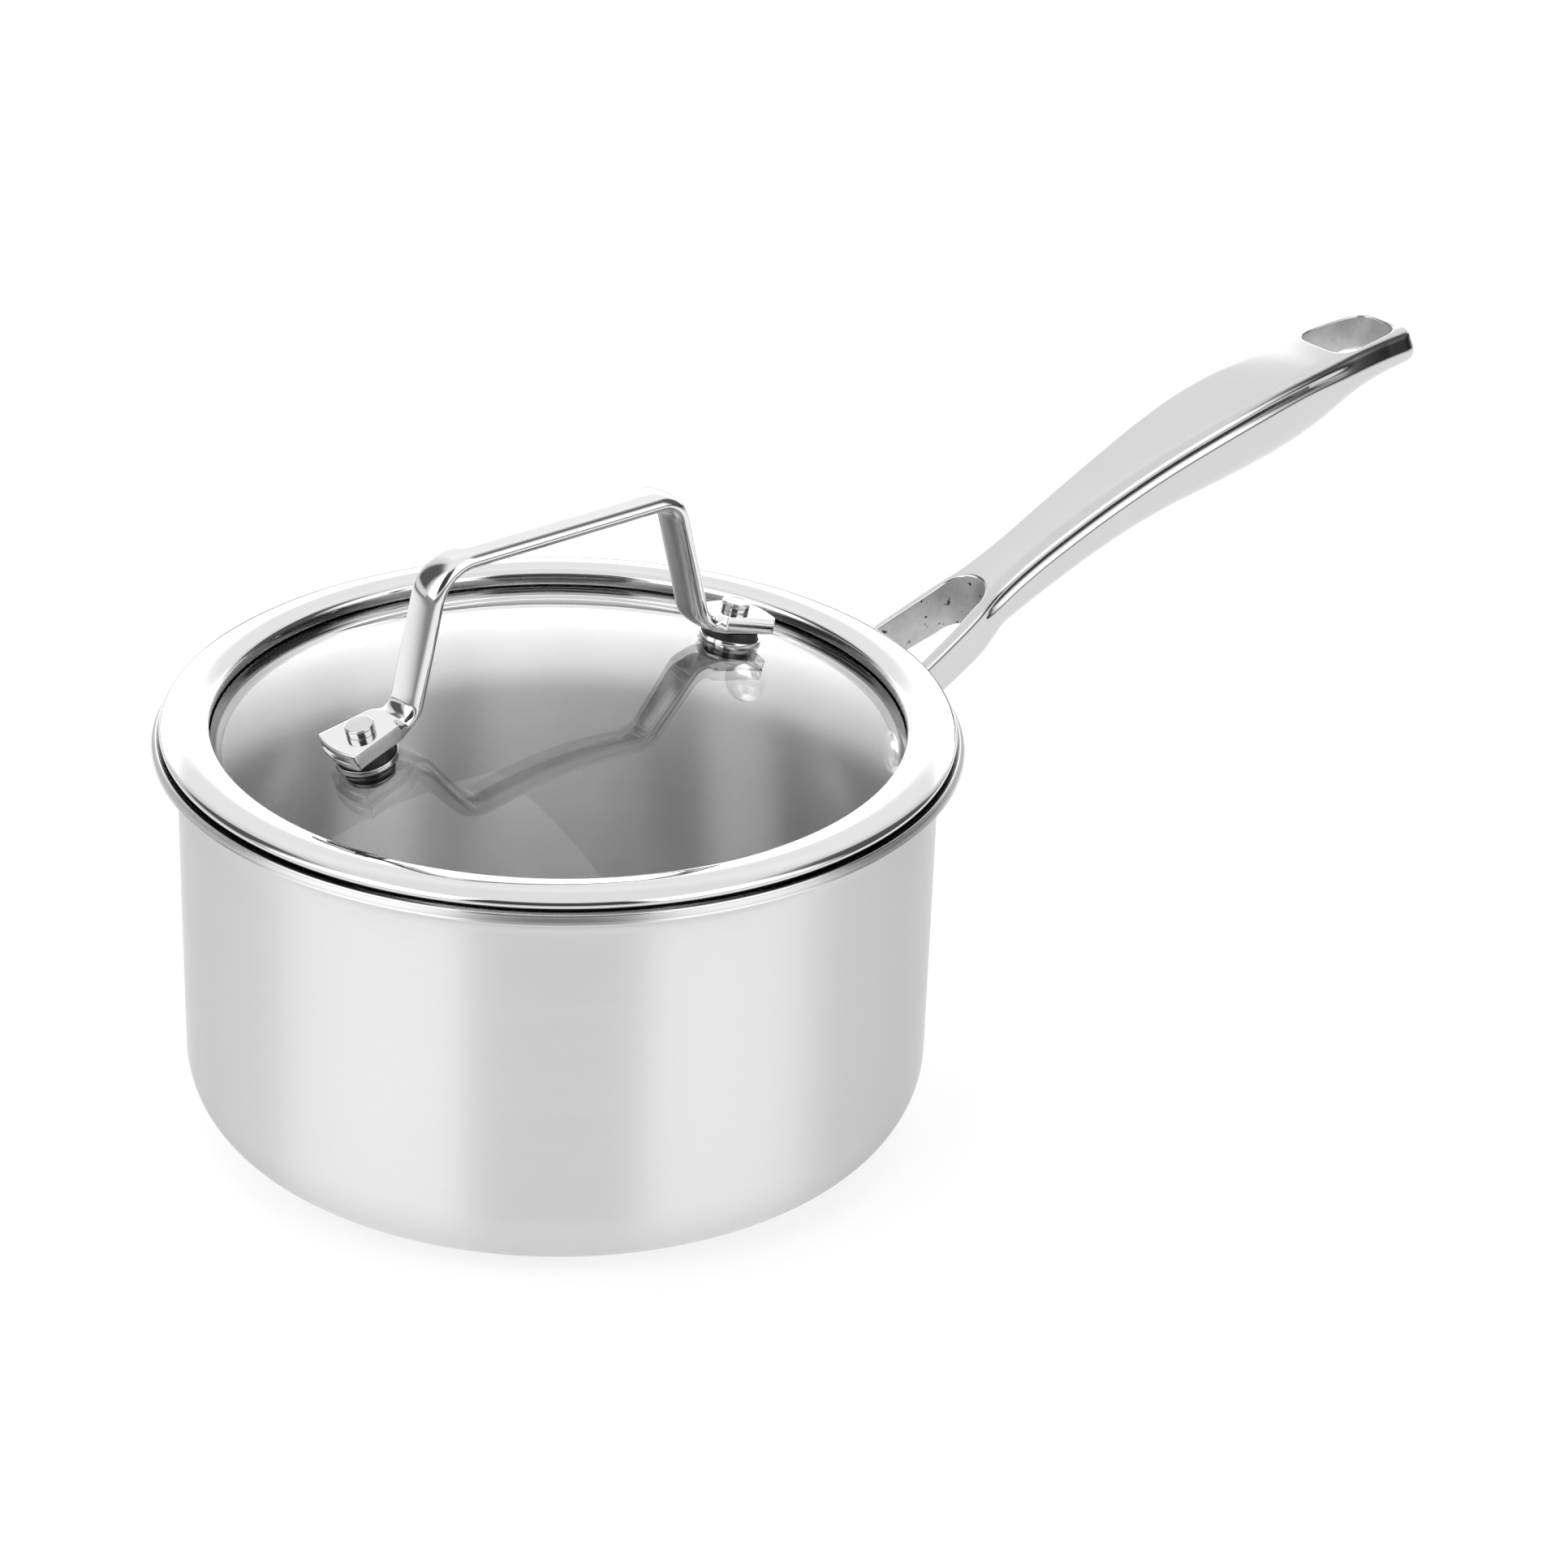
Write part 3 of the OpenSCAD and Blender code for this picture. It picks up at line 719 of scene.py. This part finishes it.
TOP_ROWS = [0, 0.012, 0.03, 0.06, 0.1, 0.16, 0.25, 0.36, 0.48, 0.6, 0.7, 0.78, 0.85, 0.91, 0.955, 0.985]
GROOVE_ROWS = (len(TOP_ROWS) + 6, len(TOP_ROWS) + 12)


def section(x):
    """Half cross-section at x as (x, y, z) rows: over the top from the inside, down the side and back along the belly"""
    g, w = gap(x), max(half_w(x), 0.02)
    L, D = line_z(x), depth(x)
    prong = 1 - smooth01((x - 116) / 12)
    gs = groove_share(x)
    tipk = smooth01((x - 208) / 30)
    endk = min(1.0, max(0.0, (x - 253) / (TIP_X - 253))) ** 2
    cove = 0.0
    if x < 87.4:
        q = min(1.0, (87.4 - x) / 2.2)
        cove = 1.8 * (1 - math.sqrt(1 - q * q * 0.999))
        w += cove
        g -= cove * 0.8
    room = min(1.0, w / 5.0)
    side = []
    for (gi, gz), (pi, pz), (ti, tz) in zip(WITH_GROOVE, PLAIN, TIP_SIDE):
        i0, z0 = pi + (ti - pi) * tipk, pz + (tz - pz) * tipk
        side.append((i0 + (gi - i0) * gs, z0 + (gz - z0) * gs))
    ci, cz = side[0]
    crown = CROWN * (1 - 0.2 * prong)
    solid = g <= 1e-6
    rf = 0.45
    lo = L - D
    ye = w - ci * room                         # where the top face ends
    pts = []

    def top(y):
        s = min(1.0, abs(y) / max(ye, 0.01))
        z = cz + (crown - cz) * (1 - 0.20 * s ** 2)
        d = ye - abs(y)
        span = min(3.2, ye)
        if d < span:
            k = 1 - d / span
            z -= (z - cz) * (0.35 * k ** 2 + 0.65 * k ** 5)
        return L + z

    inner = [g + (ye - g) * t for t in TOP_ROWS]
    if not solid:
        steps = [0, 0.05, 0.14, 0.28, 0.46]
        if ye - g > 1.2:
            inner[:5] = [g + st for st in steps]
            for i in range(5, 8):
                inner[i] = g + 0.46 + (inner[8] - g - 0.46) * (i - 4) / 4
    edged = x < 131 or x > 233.0
    for y in inner:
        s = min(1.0, abs(y) / max(ye, 0.01))
        z = top(y)
        if edged:
            z -= fillet(hole_edge(x, y), rf)
        pts.append((x - endk * ci * s ** 4, y, z))
    for i, z in side:
        pts.append((x - endk * i, max(w - i * room, 0.0), L + z))
    zb0 = L + side[-1][1]
    H = zb0 - lo
    flat = 0.26 + 0.5 * prong
    ex = 2.5 + 2.6 * prong
    n = 13
    yl = 0.0
    for k in range(1, n + 1):
        t = k / n * math.pi / 2
        c, sn = max(0.0, math.cos(t)) ** (2 / ex), math.sin(t) ** (2 / ex)
        yy = max(w * flat + w * (1 - flat) * c, g + 0.02 if not solid else 0.0)
        pts.append((x - endk * 2.2 * (1 - c), yy, zb0 - H * sn))
        yl = yy
    xe = pts[-1][0]
    for f in (0.66, 0.33, 0.12, 0.04, 0.0):
        pts.append((xe, g + (yl - g) * f, lo))
    if edged:
        m = len(inner) + len(side)
        rb = rf if x < 200 else 1.5
        pts = [(px, y, z + (fillet(hole_edge(x, y), rb) * max(0.0, 1 - (z - lo) / 3) if i >= m else 0.0))
               for i, (px, y, z) in enumerate(pts)]
    if cove:
        mid = L - D / 2
        k = 1 + 2 * cove * 0.9 / D
        pts = [(px, y, mid + (z - mid) * k) for px, y, z in pts]
    return pts


def pan_handle():
    xs = x_stations()
    bm = bmesh.new()
    secs = [section(x) for x in xs]
    for side in (1, -1):
        grid = [[bm.verts.new((px * MM, side * y * MM, z * MM)) for px, y, z in sec] for sec in secs]
        n = len(grid[0])
        walls = {}

        def wall(i):
            if i not in walls:
                p, q = grid[i][0], grid[i][-1]
                walls[i] = [p] + [bm.verts.new(p.co.lerp(q.co, j / 8)) for j in range(1, 8)] + [q]
            return walls[i]
        for i in range(len(grid) - 1):
            a, b = grid[i], grid[i + 1]
            grooved = groove_share((xs[i] + xs[i + 1]) / 2) > 0.45
            for k in range(n - 1):
                f = bm.faces.new((a[k], a[k + 1], b[k + 1], b[k]) if side > 0 else (a[k], b[k], b[k + 1], a[k + 1]))
                # the groove rows take the dark steel: painted shade along the groove
                if grooved and GROOVE_ROWS[0] <= k < GROOVE_ROWS[1]:
                    f.material_index = 2
            if gap(xs[i]) > 1e-6 or gap(xs[i + 1]) > 1e-6:
                ca, cb = wall(i), wall(i + 1)
                for j in range(8):
                    f = (ca[j], cb[j], cb[j + 1], ca[j + 1])
                    f = bm.faces.new(f if side > 0 else f[::-1])
                    f.material_index = 1
        row = grid[0] + wall(0)[1:-1][::-1]
        bm.faces.new(row if side < 0 else row[::-1])
    bmesh.ops.remove_doubles(bm, verts=bm.verts, dist=2e-6)
    bmesh.ops.dissolve_degenerate(bm, dist=1e-7, edges=bm.edges)
    ob = finish_mesh("pan_handle_skin", bm, "pan_handle", "pan", "polished_handle", sharp=48)
    ob.data.materials.append(MAT["cast_steel"])
    ob.data.materials.append(MAT["groove_steel_painted_shade"])
    return ob


pan_handle()


def foot_plate():
    """Curved plate against the wall with rounded ends and edges"""
    bm = bmesh.new()
    r0, r1 = 82.55, 85.15
    hw, hh = 33.0, 9.0
    # outline in (s, z), rounded ends
    outline = []
    for k in range(33):
        a = -math.pi / 2 + math.pi * k / 32
        outline.append((24 + hh * math.cos(a), hh * math.sin(a)))
    top = [(24 - 48 * k / 40, hh) for k in range(1, 40)]
    outline += top
    for k in range(33):
        a = math.pi / 2 + math.pi * k / 32
        outline.append((-24 + hh * math.cos(a), hh * math.sin(a)))
    outline += [(-24 + 48 * k / 40, -hh) for k in range(1, 40)]

    def ring(scale, r):
        out = []
        for s, z in outline:
            v = Vector((s, z))
            core = Vector((max(-24, min(24, s)), 0))
            dirv = (v - core)
            v = core + dirv * ((hh - scale) / hh)
            y = v.x
            x = math.sqrt(max(0, r * r - y * y))
            out.append(bm.verts.new((x * MM, y * MM, (RIV_Z + v.y) * MM)))
        return out
    rings = [ring(8.99, r0), ring(4.5, r0), ring(0.25, r0), ring(0.0, r0 + 0.3), ring(0.0, r1 - 0.9), ring(0.12, r1 - 0.45),
             ring(0.4, r1 - 0.13), ring(0.85, r1), ring(3.0, r1), ring(6.0, r1), ring(8.99, r1)]
    n = len(outline)
    for i in range(len(rings) - 1):
        for k in range(n):
            q = (k + 1) % n
            bm.faces.new((rings[i][k], rings[i][q], rings[i + 1][q], rings[i + 1][k]))
    for row in (rings[0], rings[-1]):
        # the thin slit along the middle is left open: this loop does nothing
        for k in range(n // 2 - 1):
            pass
    bmesh.ops.remove_doubles(bm, verts=bm.verts, dist=3e-5)
    me_ob = finish_mesh("pan_handle_foot_plate", bm, None, "pan", "polished_handle", sharp=40)
    return me_ob


foot_plate()

# ------------------------------------------------------------------ lid
DOME_R, GT, GR = 206.0, 4.0, 77.4
DOME_Z = 91.1 - math.sqrt(DOME_R ** 2 - 75.4 ** 2)
STUD_R, LID_OFF = 48.8, -2.0
LID_TURN = Matrix.Rotation(math.radians(-2.5), 4, "Z")


def stack_a(side):
    return math.asin((STUD_R + side * LID_OFF) / DOME_R)


def stack(side):
    return (LID_TURN @ Matrix.Translation((0, 0, DOME_Z * MM)) @ Matrix.Rotation(side * stack_a(side), 4, "Y"))


def lid_glass():
    prof = []
    n = 48
    amax = math.asin((GR - 0.6) / DOME_R)
    for k in range(n + 1):
        a = amax * k / n
        prof.append((DOME_R * math.sin(a), DOME_Z + DOME_R * math.cos(a)))
    R2 = DOME_R - GT
    zo = DOME_Z + math.sqrt(DOME_R ** 2 - GR ** 2)
    zi = DOME_Z + math.sqrt(R2 ** 2 - GR ** 2)
    for k in range(1, 6):
        t = math.pi * k / 6
        prof.append((GR - 0.6 + 0.6 * math.sin(t), (zo + zi) / 2 + (zo - zi) / 2 * math.cos(t)))
    amax2 = math.asin((GR - 0.6) / R2)
    for k in range(n + 1):
        a = amax2 * (n - k) / n
        prof.append((R2 * math.sin(a), DOME_Z + R2 * math.cos(a)))
    ob = finish_mesh("lid_glass_skin", lathe_bm(prof, 240, closed=False), "lid_glass", "lid", "clear_glass", sharp=50)
    for side in (1, -1):
        cut_me = bpy.data.meshes.new("cut")
        bm = lathe_bm([(0, DOME_R - 14), (4.0, DOME_R - 14), (4.0, DOME_R + 10), (0, DOME_R + 10)], 64, stack(side), closed=False)
        bm.to_mesh(cut_me)
        bm.free()
        cut = bpy.data.objects.new("cut", cut_me)
        scene.collection.objects.link(cut)
        mod = ob.modifiers.new("hole", "BOOLEAN")
        mod.object = cut
        mod.operation = "DIFFERENCE"
        mod.solver = "EXACT"
        bpy.context.view_layer.update()
        dg = bpy.context.evaluated_depsgraph_get()
        new = bpy.data.meshes.new_from_object(ob.evaluated_get(dg))
        ob.modifiers.clear()
        ob.data = new
        bpy.data.objects.remove(cut)
    me = ob.data
    for p in me.polygons:
        p.use_smooth = True
    me.set_sharp_from_angle(angle=math.radians(50))
    return ob


lid_glass()

BAND = [(75.4, 91.35), (75.4, 93.3), (75.75, 94.0), (76.7, 94.5), (78.5, 94.9), (80.5, 95.05),
        (82.5, 94.85), (84.5, 94.25), (85.6, 93.7), (86.1, 93.1), (86.2, 92.6), (86.0, 92.1),
        (85.4, 91.5), (84.0, 90.35), (81.8, 88.6), (80.2, 87.0), (79.4, 86.0), (79.2, 85.2),
        (79.05, 84.75), (78.5, 84.5), (76.5, 84.5), (76.1, 84.9), (76.2, 85.3), (77.9, 85.4),
        (78.3, 85.7), (78.4, 86.4), (79.5, 87.8), (81.2, 89.3), (84.4, 91.9), (84.7, 92.4),
        (84.2, 93.1), (82.5, 93.85), (80.5, 94.05), (78.5, 93.9), (77.0, 93.6), (76.35, 93.1),
        (76.3, 91.35)]


def lid_band():
    outer = spline(BAND[1:22], 5)
    inner = spline(BAND[22:36], 3)
    prof = [(75.42, 91.45), (75.4, 91.6)] + outer + inner + [(76.3, 91.6), (76.28, 91.45), (75.85, 91.35)]
    return finish_mesh("lid_rim_band_skin", lathe_bm(prof, 300), "lid_rim_band", "lid", "polished_band", sharp=60)


lid_band()

# ------------------------------------------------------------------ lid handle
BW, BT, BTOP, TOE_W = 9.6, 3.8, 141.1, 14.0
FOOT_S = DOME_R + 3.1 + BT / 2
LEG = Vector((0.238, -0.971))


def bar_half(side):
    """Centre line of one side of the bent bar: (point, tangent, share of the foot's section)"""
    sa = stack_a(side)
    foot = Vector((FOOT_S * math.sin(sa), DOME_Z + FOOT_S * math.cos(sa)))
    top = Vector((31.35 + side * LID_OFF, BTOP - BT / 2))
    m = math.tan(sa)
    heel = top + LEG * ((foot.y - top.y + (foot.x - top.x) * m) / (LEG.y + LEG.x * m))
    toe = foot + 7.45 * Vector((math.cos(sa), -math.sin(sa)))
    pts = [Vector((0, top.y)), top, heel, toe]
    out = []
    cur = pts[0]
    for i, (c, r) in enumerate(((top, 9.5 if side < 0 else 6.6), (heel, 5.6))):
        u, w = (c - pts[i]).normalized(), (pts[i + 2] - c).normalized()
        turn = u.x * w.y - u.y * w.x
        ang = math.acos(max(-1, min(1, u.dot(w))))
        tl = r * math.tan(ang / 2)
        sg = math.copysign(1, turn)
        p = c - u * tl
        for k in range(14):
            out.append((cur.lerp(p, k / 14), u))
        n = Vector((-u.y, u.x)) * sg
        o = p + n * r
        for k in range(24):
            f = k / 24 * ang * sg
            cf, sf = math.cos(f), math.sin(f)
            rn = Vector((n.x * cf - n.y * sf, n.x * sf + n.y * cf))
            out.append((o - rn * r, Vector((u.x * cf - u.y * sf, u.x * sf + u.y * cf))))
        cur = c + w * tl
    u = (toe - heel).normalized()
    out += [(cur.lerp(toe, k / 16), u) for k in range(17)]
    # distance along the line, counted from the heel's bend
    d, dist = 0.0, []
    for i, (p, t) in enumerate(out):
        if i:
            d += (p - out[i - 1][0]).length
        dist.append(d)
    end = dist[-1]
    res = []
    for (p, t), d in zip(out, dist):
        back = end - d
        sq = 1 - smooth01((back - 13.4) / 3.4)           # squashed flat from the heel outwards
        fan = max(0.0, min(1.0, (16.4 - back) / 16.4)) ** 0.85
        res.append((p, t, sq, fan, back))
    return res


def lid_handle():
    right = bar_half(1)
    left = [(Vector((-p.x, p.y)), Vector((t.x, -t.y)), sq, fan, back) for p, t, sq, fan, back in bar_half(-1)[::-1]]
    path = left[:-1] + right

    def shape(r_top, r_bot, crown, belly):
        hw, ht = BW / 2, BT / 2
        poly = [(-hw, -ht), (hw, -ht), (hw, ht), (-hw, ht)]
        pts = rounded(poly, [r_bot, r_bot, r_top, r_top], 7)
        # extra points along the flats
        out = []
        n = len(pts)
        for i, p in enumerate(pts):
            q = pts[(i + 1) % n]
            out.append(p)
            if math.hypot(q[0] - p[0], q[1] - p[1]) > 2.5:
                for k in (1, 2, 3, 4, 5):
                    out.append((p[0] + (q[0] - p[0]) * k / 6, p[1] + (q[1] - p[1]) * k / 6))
        return [(y, h - crown * (y / hw) ** 2 if h > 0 else h + belly * (y / hw) ** 2) for y, h in out]
    leg_sec = shape(1.55, 1.35, 0.72, 0.42)
    foot_sec = shape(0.42, 0.50, 0.0, 0.0)
    bm = bmesh.new()

    def ring(i, inset=0.0, push=0.0):
        p, t, sq, fan, back = path[i]
        n = Vector((-t.y, t.x))
        sgn = math.copysign(1, p.x)
        wide = 1 + (TOE_W / BW - 1) * fan
        row = []
        for (ya, ha), (yb, hb) in zip(leg_sec, foot_sec):
            y = (ya + (yb - ya) * sq) * wide
            h = ha + (hb - ha) * sq
            hw = BW / 2 * wide
            y *= 1 - inset / hw
            h *= 1 - inset / (BT / 2)
            bow = 1.5 * (y / (TOE_W / 2)) ** 2 * max(0.0, 1 - back / 6.0)
            q = p + n * h + t * push - t * (sgn * bow)
            row.append(bm.verts.new((q.x * MM, y * MM, q.y * MM)))
        return row
    verts = [ring(i) for i in range(len(path))]
    n = len(leg_sec)
    for i in range(len(verts) - 1):
        for k in range(n):
            q = (k + 1) % n
            bm.faces.new((verts[i][k], verts[i][q], verts[i + 1][q], verts[i + 1][k]))
    for i, outw in ((0, -1), (len(path) - 1, 1)):
        prev = verts[i]
        for inset, push in ((0.03, 0.10), (0.10, 0.20), (0.24, 0.27), (0.6, 0.30), (1.2, 0.30)):
            cur = ring(i, inset, push * outw)
            for k in range(n):
                q = (k + 1) % n
                bm.faces.new((prev[k], prev[q], cur[q], cur[k]))
            prev = cur
        bm.faces.new(prev)
    bmesh.ops.transform(bm, matrix=LID_TURN, verts=bm.verts)
    return finish_mesh("lid_handle_skin", bm, "lid_handle", "lid", "polished_bar", sharp=50)


lid_handle()


# ------------------------------------------------------------------ fixings of the lid handle
def turned(name, side, prof, slot, seg=72, sharp=40, closed=True):
    node = f"lid_{name}_{'back' if side > 0 else 'front'}"
    return finish_mesh(node + "_skin", lathe_bm(prof, seg, stack(side), closed=closed), node, "lid", slot, sharp=sharp)


for side in (1, -1):
    s0 = FOOT_S + BT / 2 + 0.02
    turned("barrel_nut", side,
           rounded([(1.6, DOME_R - 4.6), (2.5, DOME_R - 4.6), (2.5, s0), (3.2, s0), (3.2, s0 + 2.0), (0.0, s0 + 2.0)],
                   [0.1, 0.1, 0.05, 0.1, 0.35, 0], 4, closed=False)
           + [(0, DOME_R + 8.2), (1.6, DOME_R + 8.2)], "polished_fixing", closed=True)
    turned("cup_washer", side,
           rounded([(2.6, DOME_R + 0.03), (7.1, DOME_R + 0.03), (6.87, DOME_R + 1.18), (6.45, DOME_R + 1.18),
                    (6.45, DOME_R + 0.55), (2.6, DOME_R + 0.55)], [0.05, 0.15, 0.15, 0.1, 0.05, 0.05], 3),
           "polished_fixing")
    turned("upper_gasket", side,
           rounded([(2.6, DOME_R + 0.57), (6.4, DOME_R + 0.57), (5.9, DOME_R + 3.07), (2.6, DOME_R + 3.07)],
                   [0.05, 0.1, 0.45, 0.05], 4), "black_silicone")
    turned("lower_gasket", side,
           rounded([(2.6, DOME_R - 5.5), (5.4, DOME_R - 5.5), (5.4, DOME_R - 4.15), (3.85, DOME_R - 4.15),
                    (3.85, DOME_R - 0.1), (2.6, DOME_R - 0.1)], [0.05, 0.35, 0.25, 0.05, 0.05, 0.05], 3), "black_silicone")
    turned("backing_washer", side,
           rounded([(1.7, DOME_R - 6.55), (5.1, DOME_R - 6.55), (5.1, DOME_R - 5.55), (1.7, DOME_R - 5.55)],
                   [0.1, 0.2, 0.2, 0.1], 3), "fastener_steel")

for side in ("front", "back"):
    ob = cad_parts[f"lid_screw_{side}"]
    for s in ob.material_slots:
        s.material = MAT["fastener_steel"]
    if not ob.material_slots:
        ob.data.materials.append(MAT["fastener_steel"])


# ------------------------------------------------------------------ floor
def floor():
    m, g, b = surface("pale_floor_painted_glow")
    co = object_co(g)
    # painted pool of light: colour and glow are white near the middle, greyer far away
    painted_light_pool = g.step(g.vmath("LENGTH", co), 2.1, 0.6)
    tone = g.math("MULTIPLY_ADD", painted_light_pool, 0.20, 0.25)
    g.put(b.inputs["Base Color"], g.grey(g.math("MULTIPLY_ADD", g.noise(co, 90.0, 3.0, 0.5), 0.01, tone)))
    b.inputs["Roughness"].default_value = 0.9
    b.inputs["Specular IOR Level"].default_value = 0.0
    b.inputs["Emission Color"].default_value = (1, 1, 1, 1)
    # painted glow, strongest in the painted pool of light
    g.put(b.inputs["Emission Strength"], g.math("MULTIPLY_ADD", painted_light_pool, 0.60, 0.03))
    bm = bmesh.new()
    z = -0.00005
    vs = [bm.verts.new(v) for v in ((-12, -12, z), (12, -12, z), (12, 12, z), (-12, 12, z))]
    bm.faces.new(vs)
    me = bpy.data.meshes.new("floor")
    bm.to_mesh(me)
    bm.free()
    me.materials.append(m)
    ob = bpy.data.objects.new("floor", me)
    scene.collection.objects.link(ob)


floor()

bpy.context.view_layer.update()
